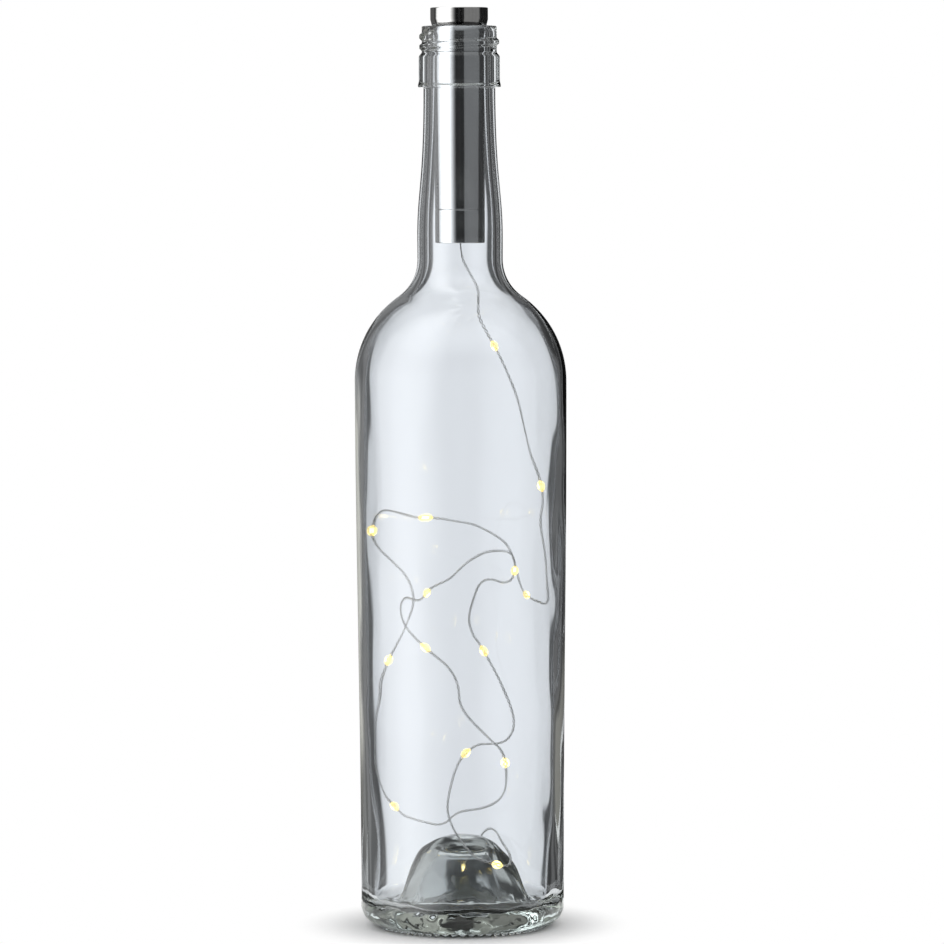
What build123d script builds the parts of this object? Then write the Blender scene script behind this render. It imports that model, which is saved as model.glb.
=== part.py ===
from build123d import *
import math
import os

# All sizes are in millimetres. The axis of the bottle is Z and it stands on Z = 0.

# Bottle body and shoulder
base_diameter = 73.6
waist_diameter = 75.0
waist_height = 100.0
shoulder_diameter = 76.6
shoulder_height = 198.0
shoulder_arc_radius = 37.6
wall_thickness = 3.2
heel_wall_thickness = 5.4
heel_wall_height = 55.0
heel_radius = 6.5

# Bottle neck
neck_diameter = 30.8
neck_fillet_radius = 15.7
neck_inner_fillet_radius = 19.5
neck_swell_height = 14.0
neck_swell_diameter = 30.7
neck_step_height = 30.0
neck_step_diameter = 28.2
neck_length = 62.0
neck_top_diameter = 25.9
bore_diameter = 18.9
bore_step_diameter = 21.6
bore_step_height = 31.0
bore_swell_diameter = 24.0
bore_swell_height = 14.0
neck_bore_diameter = 24.0

# Bottle finish
collar_diameter = 29.2
collar_lip_diameter = 29.9
collar_lip_height = 0.8
collar_lip_taper = 1.4
collar_height = 11.2
collar_bevel = 1.3
finish_height = 22.0
finish_diameter = 27.0
lip_round = 0.5
thread_pitch = 3.63
thread_turns = 1.58
thread_crest_diameter = 28.8
thread_crest_width = 0.9
thread_root_width = 3.2
thread_sink = 0.3
thread_start_below_mouth = 9.3

# Bottle base
punt_height = 25.0
punt_glass = 6.8
punt_crown_diameter = 17.0
punt_top_crown_diameter = 13.0
punt_crown_drop = 0.6
punt_shoulder_diameter = 25.2
punt_shoulder_drop = 7.0
punt_foot_diameter = 39.6
punt_foot_height = 6.8
punt_slope_outset = 0.8
punt_slope_rise = 9.5
land_width = 2.4
land_slope = 0.7
floor_height = 8.5
floor_round = 4.5
floor_slope = 0.2
bead_count = 60
bead_height = 1.0
bead_tip_diameter = 1.6
bead_foot_diameter = 2.8
bead_ring_inset = 0.3

# Stopper shell
head_diameter = 20.8
head_height = 6.6
head_skirt_height = 2.3
head_edge_round = 0.5
head_wall = 1.4
head_taper = 0.25
seat_gap = 0.15
tube_diameter = 17.9
tube_wall = 1.2
stopper_depth = 77.9
end_cap_height = 12.0

# Switch
button_diameter = 8.6
button_gap = 0.2
button_recess = 0.3
button_flange_diameter = 11.0
button_flange_thickness = 1.0
button_rest_gap = 0.1
button_stem_diameter = 4.0
button_stem_length = 1.1
button_travel = 1.0
touch_gap = 0.05
button_spring_wire = 0.45
button_spring_diameter = 5.8
button_spring_turns = 3
plunger_diameter = 3.0
plunger_rise = 1.5
plunger_depth = 1.5
plunger_gap = 0.15
switch_width = 8.0
switch_height = 5.0
switch_board_thickness = 1.2
ring_height = 2.5
ring_bore_diameter = 11.4
board_gap = 0.1

# Cell
cell_length = 50.5
cell_diameter = 14.3
cell_sleeve_wall = 0.15
cell_sleeve_lip = 0.4
cell_nub_diameter = 5.3
cell_nub_height = 1.2
cell_cap_diameter = 9.6
cell_cap_thickness = 0.4
cell_fit = 0.05
negative_spring_wire = 0.7
negative_spring_diameter = 8.4
negative_spring_turns = 4

# Driver and end cap
spigot_height = 4.4
spigot_gap = 0.1
cap_bore_diameter = 11.4
cap_ledge_width = 0.7
cap_floor = 1.4
cap_edge_round = 0.4
driver_board_thickness = 1.0
driver_board_rise = 1.4
contact_diameter = 5.0
contact_height = 2.4
inductor_diameter = 4.2
inductor_height = 3.0
inductor_offset = 2.8
chip_length = 2.9
chip_width = 1.6
chip_height = 1.1
capacitor_length = 2.0
capacitor_width = 1.25
capacitor_height = 1.2
chip_offset_x = 2.6
chip_offset_y = 1.3
seal_section = 0.9
seal_groove_width = 1.2
seal_fit = 0.06
seal_above_seam = 0.2
tail_diameter = 0.4
tail_spread = 1.5
grommet_flange_diameter = 5.2
grommet_flange_height = 1.2
grommet_neck_diameter = 3.4
grommet_fit = 0.05
grommet_wire_gap = 0.3

# Light string
wire_diameter = 0.8
wire_gap = 0.15
wire_inside_grommet = 2.0
drop_length = 4.4
drop_diameter = 2.8
led_length = 1.6
led_width = 0.8
led_height = 0.45
led_fit = 0.03
last_drop_inset = 1.0

# Route of the wire below the end cap. A 1 after the place marks a run with a light at its middle.
wire_route = [
    (0, 0, 243.5, 0), (3, -0.5, 237.5, 0), (7, -1.5, 229.5, 0), (6, -2.5, 222, 0),
    (9, -3.5, 215.5, 1), (16, -5, 205, 0), (20.5, -7, 191.5, 0), (24, -10, 174.5, 0),
    (27, -11, 165.5, 1), (29, -11, 156, 0), (27, -10.5, 148, 0), (29.5, -10, 136.5, 0),
    (30, -9.5, 126.5, 0), (31, -9, 118.5, 0), (29, -5, 117.5, 0),
    (27, -1, 119, 1), (22, 5, 121.5, 0), (20, 9, 131.5, 0), (15, 14, 140, 0), (5.5, 19.5, 144.5, 0),
    (-9.5, 25.5, 146, 1), (-18, 27, 147, 0), (-27, 16, 150, 0), (-30.5, 5, 150.5, 0),
    (-31.5, -3, 147.5, 1), (-31.5, -7, 140.5, 0), (-25, -8, 133.5, 0), (-19, -7, 127.5, 0),
    (-16.5, -5, 119, 0), (-19.5, -4, 110.5, 0),
    (-24, -3, 103, 1), (-29.5, 0, 91, 0), (-30, 2, 82.5, 0), (-32.5, 4, 75, 0),
    (-32.5, 3, 63, 0), (-32.5, 4, 54.5, 0),
    (-29, 7, 45, 1), (-23.5, 10, 37.5, 0), (-17, 11, 36, 0), (-8, 10, 33, 0), (-3.5, 8, 38, 0),
    (4, 6, 40, 0), (11, 3, 42.5, 0), (15.5, -1, 47.5, 0),
    (16, -6, 54.5, 1), (15, -12, 65, 0), (10, -17, 70, 0), (-1, -22, 81.5, 0), (-1, -24, 90.5, 0),
    (-4.5, -26, 97, 0),
    (-9, -27.5, 101, 1), (-16, -28, 107.5, 0), (-20.5, -22, 112.5, 0), (-22, -14, 118, 0),
    (-20.5, -5, 120.5, 0), (-16.5, 3, 118, 0),
    (-13.5, 9, 118, 1), (-9.5, 13, 122.5, 0), (-3.5, 14, 126, 0), (4, 12, 132.5, 0), (12, 6, 136.5, 0),
    (17.5, -2, 136.5, 0),
    (19.5, -9, 133, 1), (18.5, -14.5, 127, 0), (14.5, -15, 126, 0), (9.5, -9.5, 127.5, 0),
    (6.5, -5.5, 125, 0), (4.5, -7, 120, 0), (2, -16, 114, 0), (3.5, -23, 108.5, 0),
    (6, -28, 106, 1), (9.5, -30, 100, 0), (13.5, -29, 92, 0), (19, -26.5, 77.5, 0), (16, -26, 70, 0),
    (10, -25, 69, 0),
    (5, -24, 69, 1), (-2, -23, 62.5, 0), (-6, -19.5, 47, 0), (-4.5, -17.5, 39, 0), (0, -15.5, 31.5, 0),
    (4, -18, 27, 0),
    (8.5, -17.5, 25.3, 1), (16.5, -14.5, 22.5, 0), (17, -9.5, 26.5, 0), (14.5, -4.5, 30, 0),
    (12, 2, 33.5, 0), (9, 9, 33, 0), (5.5, 16.5, 28.5, 0), (2, 22.5, 22, 0), (-1, 26, 15, 0),
]

# Heights that follow from the sizes above
neck_radius = neck_diameter / 2
shoulder_radius = shoulder_diameter / 2
base_radius = base_diameter / 2
waist_radius = waist_diameter / 2
shoulder_centre = shoulder_radius - shoulder_arc_radius
tube_radius = tube_diameter / 2
tube_bore_radius = tube_radius - tube_wall
bore_radius = bore_diameter / 2
neck_bore_radius = neck_bore_diameter / 2


def fillet_rise(straight_radius, fillet_radius, arc_radius):
    """Height above the shoulder centre at which the neck fillet leaves the straight neck."""
    reach = straight_radius + fillet_radius - shoulder_centre
    return math.sqrt((arc_radius + fillet_radius) ** 2 - reach**2)


neck_base = shoulder_height + fillet_rise(neck_radius, neck_fillet_radius, shoulder_arc_radius)
collar_bottom = neck_base + neck_length
mouth = collar_bottom + finish_height
head_top = mouth + head_height
head_inside = head_top - head_wall
exit_height = mouth - stopper_depth
seam = exit_height + end_cap_height
cap_floor_top = exit_height + cap_floor


def at(radius, height):
    """A place on the outline plane."""
    return (radius, 0, height)


def line(*places):
    return Polyline(*[at(*place) for place in places])


def turned(*edges):
    """Solid of revolution from the closed outline."""
    return revolve(make_face(edges), axis=Axis.Z)


def ring(outer_radius, inner_radius, bottom, top):
    return turned(
        line(
            (inner_radius, bottom),
            (outer_radius, bottom),
            (outer_radius, top),
            (inner_radius, top),
            (inner_radius, bottom),
        )
    )


def rod(radius, bottom, top):
    return Pos(0, 0, bottom) * Cylinder(radius, top - bottom, align=(Align.CENTER, Align.CENTER, Align.MIN))


def block(length, width, height, centre_x, centre_y, bottom):
    box = Box(length, width, height, align=(Align.CENTER, Align.CENTER, Align.MIN))
    return Pos(centre_x, centre_y, bottom) * box


def coil(mean_radius, wire, bottom, top, turns):
    """Helical spring between two heights."""
    rise = top - bottom - wire
    path = Pos(0, 0, bottom + wire / 2) * Helix(rise / turns, rise, mean_radius)
    section = Plane(origin=path @ 0, z_dir=path % 0) * Circle(wire / 2)
    return sweep(section, path=path, is_frenet=True)


def bent_arc(centre, radius, start, end):
    """Arc on the outline plane, angles in degrees from the radius direction."""
    places = []
    for angle in (start, (start + end) / 2, end):
        turn = math.radians(angle)
        places.append(at(centre[0] + radius * math.cos(turn), centre[1] + radius * math.sin(turn)))
    return ThreePointArc(*places)


def shoulder_arcs(straight_radius, fillet_radius, arc_radius):
    """Round shoulder and the hollow curve that leads from it into the neck."""
    rise = fillet_rise(straight_radius, fillet_radius, arc_radius)
    reach = straight_radius + fillet_radius - shoulder_centre
    lean = math.degrees(math.atan2(rise, reach))
    outside = bent_arc((shoulder_centre, shoulder_height), arc_radius, 0, lean)
    hollow_centre = (straight_radius + fillet_radius, shoulder_height + rise)
    hollow = bent_arc(hollow_centre, fillet_radius, 180 + lean, 180)
    return outside, hollow


# Bottle outline, outside
heel_top = bead_height + heel_radius
land_outer = base_radius - heel_radius
land_inner = land_outer - land_width
punt_under = Spline(
    at(0, punt_height),
    at(punt_crown_diameter / 2, punt_height - punt_crown_drop),
    at(punt_shoulder_diameter / 2, punt_height - punt_shoulder_drop),
    at(punt_foot_diameter / 2, punt_foot_height),
    at(land_inner, bead_height),
    tangents=[(1, 0, 0), (1, 0, -land_slope)],
)
land = line((land_inner, bead_height), (land_outer, bead_height))
heel = bent_arc((land_outer, heel_top), heel_radius, -90, 0)
side = Spline(
    at(base_radius, heel_top),
    at(waist_radius, waist_height),
    at(shoulder_radius, shoulder_height),
    tangents=[(0, 0, 1), (0, 0, 1)],
)
shoulder, neck_hollow = shoulder_arcs(neck_radius, neck_fillet_radius, shoulder_arc_radius)
neck = Spline(
    at(neck_radius, neck_base),
    at(neck_swell_diameter / 2, neck_base + neck_swell_height),
    at(neck_step_diameter / 2, neck_base + neck_step_height),
    at(neck_top_diameter / 2, collar_bottom),
    tangents=[(0, 0, 1), (0, 0, 1)],
)
lip_radius = collar_lip_diameter / 2
finish_radius = finish_diameter / 2
collar_top = collar_bottom + collar_height
finish = line(
    (neck_top_diameter / 2, collar_bottom),
    (lip_radius, collar_bottom),
    (lip_radius, collar_bottom + collar_lip_height),
    (collar_diameter / 2, collar_bottom + collar_lip_height + collar_lip_taper),
    (collar_diameter / 2, collar_top),
    (finish_radius, collar_top + collar_bevel),
    (finish_radius, mouth - lip_round),
)
lip = bent_arc((finish_radius - lip_round, mouth - lip_round), lip_round, 0, 90)

# Bottle outline, inside
seat_radius = head_diameter / 2 - head_skirt_height * head_taper + seat_gap
seat_depth = (seat_radius - bore_radius) / head_taper
inner_arc_radius = shoulder_arc_radius - wall_thickness
bore_base = shoulder_height + fillet_rise(neck_bore_radius, neck_inner_fillet_radius, inner_arc_radius)
rim = line((finish_radius - lip_round, mouth), (seat_radius, mouth), (bore_radius, mouth - seat_depth))
bore = Spline(
    at(bore_radius, mouth - seat_depth),
    at(bore_step_diameter / 2, bore_base + bore_step_height),
    at(bore_swell_diameter / 2, bore_base + bore_swell_height),
    at(neck_bore_radius, bore_base),
    tangents=[(0, 0, -1), (0, 0, -1)],
)
inner_shoulder, bore_hollow = shoulder_arcs(neck_bore_radius, neck_inner_fillet_radius, inner_arc_radius)
floor_radius = base_radius - heel_wall_thickness
inner_side = Spline(
    at(shoulder_radius - wall_thickness, shoulder_height),
    at(waist_radius - wall_thickness, waist_height),
    at(base_radius - wall_thickness, heel_wall_height),
    at(floor_radius, floor_height + floor_round),
    tangents=[(0, 0, -1), (0, 0, -1)],
)
floor_corner = bent_arc((floor_radius - floor_round, floor_height + floor_round), floor_round, 0, -90)
punt_top = Spline(
    at(floor_radius - floor_round, floor_height),
    at(punt_foot_diameter / 2 + punt_slope_outset, punt_foot_height + punt_slope_rise),
    at(punt_shoulder_diameter / 2 + punt_slope_outset, punt_height - punt_shoulder_drop + punt_slope_rise),
    at(punt_top_crown_diameter / 2, punt_height + punt_glass - punt_crown_drop),
    at(0, punt_height + punt_glass),
    tangents=[(-1, 0, floor_slope), (-1, 0, 0)],
)
axis_line = line((0, punt_height + punt_glass), (0, punt_height))

glass = turned(
    punt_under, land, heel, side, shoulder, neck_hollow, neck, finish, lip, rim,
    bore, bore_hollow, inner_shoulder, inner_side, floor_corner, punt_top, axis_line,
)

# Screw thread on the finish and the beads the bottle stands on
thread_base = mouth - thread_start_below_mouth
thread_height = thread_pitch * thread_turns
thread_path = Pos(0, 0, thread_base) * Helix(thread_pitch, thread_height, finish_radius)
thread_foot = finish_radius - thread_sink
thread_crest = thread_crest_diameter / 2
thread_section = make_face(
    line(
        (thread_foot, thread_base - thread_root_width / 2),
        (thread_crest, thread_base - thread_crest_width / 2),
        (thread_crest, thread_base + thread_crest_width / 2),
        (thread_foot, thread_base + thread_root_width / 2),
        (thread_foot, thread_base - thread_root_width / 2),
    )
)
thread = sweep(thread_section, path=thread_path, is_frenet=True)
bead = Cone(
    bead_tip_diameter / 2,
    bead_foot_diameter / 2,
    bead_height * 2,
    align=(Align.CENTER, Align.CENTER, Align.MIN),
)
beads = [place * bead for place in PolarLocations(land_outer - bead_ring_inset, bead_count)]
bottle = glass.fuse(thread, *beads)

# Stopper tube with its flared head
head_radius = head_diameter / 2
head_bottom = mouth + head_skirt_height
taper_bottom = head_bottom - (head_radius - tube_radius) / head_taper
hole_radius = button_diameter / 2 + button_gap
stopper_tube = turned(
    line((hole_radius, head_inside), (hole_radius, head_top), (head_radius - head_edge_round, head_top)),
    bent_arc((head_radius - head_edge_round, head_top - head_edge_round), head_edge_round, 90, 0),
    line(
        (head_radius, head_top - head_edge_round),
        (head_radius, head_bottom),
        (tube_radius, taper_bottom),
        (tube_radius, seam),
        (tube_bore_radius, seam),
        (tube_bore_radius, head_inside),
        (hole_radius, head_inside),
    ),
)

# Push button, its spring and the switch
flange_top = head_inside - button_rest_gap
flange_bottom = flange_top - button_flange_thickness
stem_bottom = flange_bottom - button_stem_length
switch_button = (
    rod(button_diameter / 2, flange_bottom, head_top - button_recess)
    + rod(button_flange_diameter / 2, flange_bottom, flange_top)
    + rod(button_stem_diameter / 2, stem_bottom, flange_top)
)
plunger_top = stem_bottom - touch_gap
switch_top = plunger_top - plunger_rise
switch_bottom = switch_top - switch_height
plunger_bottom = switch_top - plunger_depth
switch_plunger = rod(plunger_diameter / 2, plunger_bottom, plunger_top)
plunger_well_bottom = plunger_bottom - button_travel - touch_gap
plunger_well = rod(plunger_diameter / 2 + plunger_gap, plunger_well_bottom, switch_top)
switch_body = block(switch_width, switch_width, switch_height, 0, 0, switch_bottom) - plunger_well
button_spring = coil(
    button_spring_diameter / 2,
    button_spring_wire,
    switch_top + touch_gap,
    flange_bottom - touch_gap,
    button_spring_turns,
)
switch_board_bottom = switch_bottom - switch_board_thickness
switch_board = rod(tube_bore_radius - board_gap, switch_board_bottom, switch_bottom)
retaining_ring = ring(
    tube_bore_radius - board_gap,
    ring_bore_diameter / 2,
    switch_board_bottom - ring_height,
    switch_board_bottom,
)

# Driver board and the contact the cell stands on
driver_top = seam + driver_board_rise
driver_bottom = driver_top - driver_board_thickness
driver_board = rod(cap_bore_diameter / 2 - board_gap, driver_bottom, driver_top)
contact_top = driver_top + contact_height
positive_contact = rod(contact_diameter / 2, driver_top, contact_top)
inductor_bottom = driver_bottom - inductor_height
boost_inductor = Pos(-inductor_offset, 0, 0) * rod(inductor_diameter / 2, inductor_bottom, driver_bottom)
driver_chip = block(
    chip_width, chip_length, chip_height, chip_offset_x, chip_offset_y, driver_bottom - chip_height
)
filter_capacitor = block(
    capacitor_length,
    capacitor_width,
    capacitor_height,
    chip_offset_x,
    -chip_offset_y,
    driver_bottom - capacitor_height,
)

# Cell, its plus end down on the contact
nub_bottom = contact_top + touch_gap
cell_bottom = nub_bottom + cell_nub_height
cell_top = nub_bottom + cell_length
can_radius = cell_diameter / 2 - cell_sleeve_wall - cell_fit
cap_radius = cell_cap_diameter / 2
can_bottom = cell_bottom + cell_cap_thickness
cell_can = rod(can_radius, can_bottom, cell_top)
cell_nub = rod(cell_nub_diameter / 2, nub_bottom, can_bottom)
cell_positive_cap = cell_nub + rod(cap_radius, cell_bottom, can_bottom)
cell_washer = ring(can_radius, cap_radius + cell_fit, cell_bottom, can_bottom)
cell_sleeve = ring(
    cell_diameter / 2, can_radius + cell_fit, cell_bottom - touch_gap, cell_top - cell_sleeve_lip
)
negative_spring = coil(
    negative_spring_diameter / 2,
    negative_spring_wire,
    cell_top + touch_gap,
    switch_board_bottom - touch_gap,
    negative_spring_turns,
)

# End cap with its spigot, seal and grommet
spigot_radius = tube_bore_radius - spigot_gap
spigot_top = seam + spigot_height
cap_bore_radius = cap_bore_diameter / 2
ledge_radius = cap_bore_radius - cap_ledge_width
grommet_hole = grommet_neck_diameter / 2 + grommet_fit
seal_radius = tube_bore_radius - seal_fit - seal_section / 2
groove_radius = seal_radius - seal_section / 2 - seal_fit
groove_bottom = seam + seal_above_seam
groove_top = groove_bottom + seal_groove_width
end_cap = turned(
    line((grommet_hole, exit_height), (tube_radius - cap_edge_round, exit_height)),
    bent_arc((tube_radius - cap_edge_round, exit_height + cap_edge_round), cap_edge_round, -90, 0),
    line(
        (tube_radius, exit_height + cap_edge_round),
        (tube_radius, seam - touch_gap),
        (spigot_radius, seam - touch_gap),
        (spigot_radius, groove_bottom),
        (groove_radius, groove_bottom),
        (groove_radius, groove_top),
        (spigot_radius, groove_top),
        (spigot_radius, spigot_top),
        (cap_bore_radius, spigot_top),
        (cap_bore_radius, driver_bottom),
        (ledge_radius, driver_bottom),
        (ledge_radius, cap_floor_top),
        (grommet_hole, cap_floor_top),
        (grommet_hole, exit_height),
    ),
)
seal_middle = (groove_bottom + groove_top) / 2
end_cap_seal = Pos(0, 0, seal_middle) * Torus(seal_radius, seal_section / 2)
grommet_bore = wire_diameter / 2 + grommet_wire_gap
grommet_top = cap_floor_top + grommet_flange_height
wire_grommet = ring(grommet_neck_diameter / 2, grommet_bore, exit_height, grommet_top) + ring(
    grommet_flange_diameter / 2, grommet_bore, cap_floor_top, grommet_top
)
solder_tails = Compound(
    [
        Pos(0, offset, 0) * rod(tail_diameter / 2, grommet_top, driver_bottom)
        for offset in (-tail_spread, tail_spread)
    ]
)


# Wire of the light string
def cord_path(places):
    """Straight runs joined by arcs, each arc as large as its two runs allow."""
    runs = [Vector(b) - Vector(a) for a, b in zip(places, places[1:])]
    radii = []
    for before, after in zip(runs, runs[1:]):
        half_turn = math.radians(before.get_angle(after)) / 2
        radii.append(0.45 * min(before.length, after.length) / math.tan(half_turn))
    return FilletPolyline(*places, radius=radii), radii


def cord(places, name):
    path, radii = cord_path(places)
    section = Plane(origin=path @ 0, z_dir=path % 0) * Circle(wire_diameter / 2)
    tube = sweep(section, path=path)
    expected = math.pi * wire_diameter**2 / 4 * path.length
    print(name, "length", round(path.length, 1), "radii", [round(radius, 1) for radius in radii])
    print(name, "volume", round(tube.volume, 2), "section times length", round(expected, 2))
    return tube


def drop_at(place, direction):
    """Resin drop and its chip, threaded on the wire at the place."""
    bore = wire_diameter / 2 + wire_gap
    half = drop_length / 2
    outline = ThreePointArc(at(bore, -half), at(drop_diameter / 2, 0), at(bore, half))
    chip = Pos(bore + led_height / 2, 0, 0) * Box(led_height, led_width, led_length)
    pocket = Pos(bore + led_height / 2, 0, 0) * Box(
        led_height + 2 * led_fit, led_width + 2 * led_fit, led_length + 2 * led_fit
    )
    drop = turned(outline, line((bore, half), (bore, -half))) - pocket
    plane = Plane(origin=place, z_dir=direction)
    return plane * drop, plane * chip


places = [Vector(x, y, z) for x, y, z, light in wire_route]
light_runs = [number for number, point in enumerate(wire_route) if point[3]]
middles = [(places[number] + places[number + 1]) / 2 for number in light_runs]
directions = [places[number + 1] - places[number] for number in light_runs]
last_run = (places[-1] - places[-2]).normalized()
middles.append(places[-1] - last_run * last_drop_inset)
directions.append(last_run)

wire_top = Vector(0, 0, exit_height + wire_inside_grommet)
first_light = light_runs[0]
lead_wire = cord([wire_top, *places[: first_light + 1], middles[0]], "lead_wire")
light_wire = cord([middles[0], *places[first_light + 1 :]], "light_wire")

# Files
os.makedirs("parts", exist_ok=True)
nodes = {
    "bottle": bottle,
    "stopper_tube": stopper_tube,
    "switch_button": switch_button,
    "switch_plunger": switch_plunger,
    "button_spring": button_spring,
    "switch_body": switch_body,
    "switch_board": switch_board,
    "retaining_ring": retaining_ring,
    "negative_spring": negative_spring,
    "cell_can": cell_can,
    "cell_sleeve": cell_sleeve,
    "cell_washer": cell_washer,
    "cell_positive_cap": cell_positive_cap,
    "positive_contact": positive_contact,
    "driver_board": driver_board,
    "boost_inductor": boost_inductor,
    "driver_chip": driver_chip,
    "filter_capacitor": filter_capacitor,
    "solder_tails": solder_tails,
    "end_cap": end_cap,
    "end_cap_seal": end_cap_seal,
    "wire_grommet": wire_grommet,
    "lead_wire": lead_wire,
    "light_wire": light_wire,
}
for number, (middle, direction) in enumerate(zip(middles, directions), start=1):
    drop, chip = drop_at(middle, direction)
    nodes[f"led_drop_{number:02d}"] = drop
    nodes[f"led_chip_{number:02d}"] = chip
for name, solid in nodes.items():
    export_step(solid, f"parts/{name}.step")
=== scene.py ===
import math

import bpy
from mathutils import Matrix, Vector


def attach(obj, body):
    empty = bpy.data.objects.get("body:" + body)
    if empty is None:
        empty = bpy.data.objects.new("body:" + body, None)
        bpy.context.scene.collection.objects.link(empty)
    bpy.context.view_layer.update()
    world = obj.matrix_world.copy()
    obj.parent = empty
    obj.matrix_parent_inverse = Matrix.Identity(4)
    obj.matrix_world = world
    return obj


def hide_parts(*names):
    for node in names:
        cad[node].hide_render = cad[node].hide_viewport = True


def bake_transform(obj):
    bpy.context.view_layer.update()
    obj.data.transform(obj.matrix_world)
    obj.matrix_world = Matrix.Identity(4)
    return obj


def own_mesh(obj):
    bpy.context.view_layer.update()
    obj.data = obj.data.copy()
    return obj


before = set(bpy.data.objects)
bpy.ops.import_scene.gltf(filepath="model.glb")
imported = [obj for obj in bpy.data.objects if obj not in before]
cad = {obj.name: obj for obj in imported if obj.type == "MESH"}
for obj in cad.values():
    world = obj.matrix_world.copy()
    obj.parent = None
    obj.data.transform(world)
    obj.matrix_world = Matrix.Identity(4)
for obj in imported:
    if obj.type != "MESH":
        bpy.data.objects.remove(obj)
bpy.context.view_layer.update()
scene = bpy.context.scene


# Bottle
# A clear wine bottle, pressed and blown in a mould: the outside is true and the inner wall is
# uneven. Screw thread and collar are moulded on the neck, and beads under the base carry it.
mm = 0.001
base_radius = 36.8
waist_radius = 37.5
waist_height = 100.0
shoulder_radius = 38.3
shoulder_height = 198.0
shoulder_arc_radius = 37.6
wall_thickness = 3.2
heel_wall_thickness = 5.4
heel_wall_height = 55.0
heel_radius = 6.5
neck_radius = 15.4
neck_hollow_radius = 15.7
neck_inner_hollow_radius = 19.5
neck_length = 62.0
neck_swell = (15.35, 14.0)
neck_step = (14.1, 30.0)
neck_top_radius = 12.95
bore_radius = 9.45
neck_bore_radius = 12.0
bore_swell = (12.0, 14.0)
bore_step = (10.8, 31.0)
collar_radius = 14.6
collar_lip_radius = 14.95
collar_lip_height = 0.8
collar_lip_taper = 1.4
collar_height = 11.2
collar_bevel = 1.3
finish_height = 22.0
finish_radius = 13.5
mouth_round = 0.5
mouth_ease = 0.4
seat_radius = 9.975
seat_depth = 2.1
edge_ease = 0.5
neck_end_below_collar = 0.6
thread_pitch = 3.63
thread_turns = 1.58
thread_depth = 0.9
thread_crest_width = 0.9
thread_root_width = 3.2
thread_start_below_mouth = 9.3
thread_fade_turns = 0.07
thread_foot_gap = 0.9
punt_height = 25.0
punt_glass = 6.8
punt_crown = (8.5, 24.4)
punt_top_crown = (6.5, 31.2)
punt_shoulder = (12.6, 18.0)
punt_foot = (19.8, 6.8)
punt_slope = (0.8, 9.5)
land_width = 2.4
floor_height = 8.5
floor_round = 4.5
bead_count = 60
bead_sides = 12
bead_rows = 3
bead_height = 1.0
bead_sink = 0.1
bead_tip_radius = 0.8
bead_foot_radius = 1.4
bead_ring_radius = 30.0
glass_segments = 192
weld_distance = 0.002
axis_margin = 0.01
finish_margin = 0.05


def fill(tree, node, values):
    """Links or sets a node's sockets."""
    for key, value in values.items():
        if isinstance(value, bpy.types.NodeSocket):
            tree.links.new(value, node.inputs[key])
        else:
            node.inputs[key].default_value = value


def add_node(tree, kind, values=None, **settings):
    """Adds a node, sets its properties, and fills its sockets."""
    node = tree.nodes.new(kind)
    for name, setting in settings.items():
        setattr(node, name, setting)
    fill(tree, node, values or {})
    return node


def result(tree, kind, values=None, **settings):
    """Adds a node; gives its first output."""
    return add_node(tree, kind, values, **settings).outputs[0]


def reckon(tree, operation, *terms):
    """A Math node on the terms; gives its result socket."""
    values = dict(enumerate(terms))
    return result(tree, "ShaderNodeMath", values, operation=operation)


def parts(tree, vector):
    """The X, Y and Z of a vector."""
    return add_node(tree, "ShaderNodeSeparateXYZ", {0: vector}).outputs


def blend_range(tree, value, start, end, low, high):
    """Leads a value from low to high as it goes from start to end."""
    values = {"Value": value, "From Min": start, "From Max": end, "To Min": low, "To Max": high}
    return result(tree, "ShaderNodeMapRange", values, interpolation_type="SMOOTHSTEP")


def over_span(tree, value, span, low, high):
    """As blend_range, over a span in millimetres."""
    return blend_range(tree, value, span[0] * mm, span[1] * mm, low, high)


def product(tree, *factors):
    """The factors multiplied in turn."""
    total = factors[0]
    for factor in factors[1:]:
        total = reckon(tree, "MULTIPLY", total, factor)
    return total


def uneven(tree, place, scale, roughness):
    """Noise about zero at the place."""
    values = {"Vector": place, "Scale": scale, "Detail": 1.0, "Roughness": roughness}
    return reckon(tree, "SUBTRACT", add_node(tree, "ShaderNodeTexNoise", values).outputs["Fac"], 0.5)


def shape_tree(name, sizes):
    """A Geometry Nodes tree with named inputs; gives the tree, its inputs and its output."""
    tree = bpy.data.node_groups.new(name, "GeometryNodeTree")
    tree.interface.new_socket("Geometry", in_out="INPUT", socket_type="NodeSocketGeometry")
    for label, kind in sizes.items():
        tree.interface.new_socket(label, in_out="INPUT", socket_type="NodeSocket" + kind)
    tree.interface.new_socket("Geometry", in_out="OUTPUT", socket_type="NodeSocketGeometry")
    inputs = tree.nodes.new("NodeGroupInput").outputs
    return tree, inputs, tree.nodes.new("NodeGroupOutput").inputs[0]


def end_tree(tree, geometry, material, output):
    """Real geometry, shaded smooth, with the piece's material."""
    real = result(tree, "GeometryNodeRealizeInstances", {"Geometry": geometry})
    smooth = result(tree, "GeometryNodeSetShadeSmooth", {"Geometry": real})
    values = {"Geometry": smooth, "Material": material}
    tree.links.new(result(tree, "GeometryNodeSetMaterial", values), output)


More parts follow.
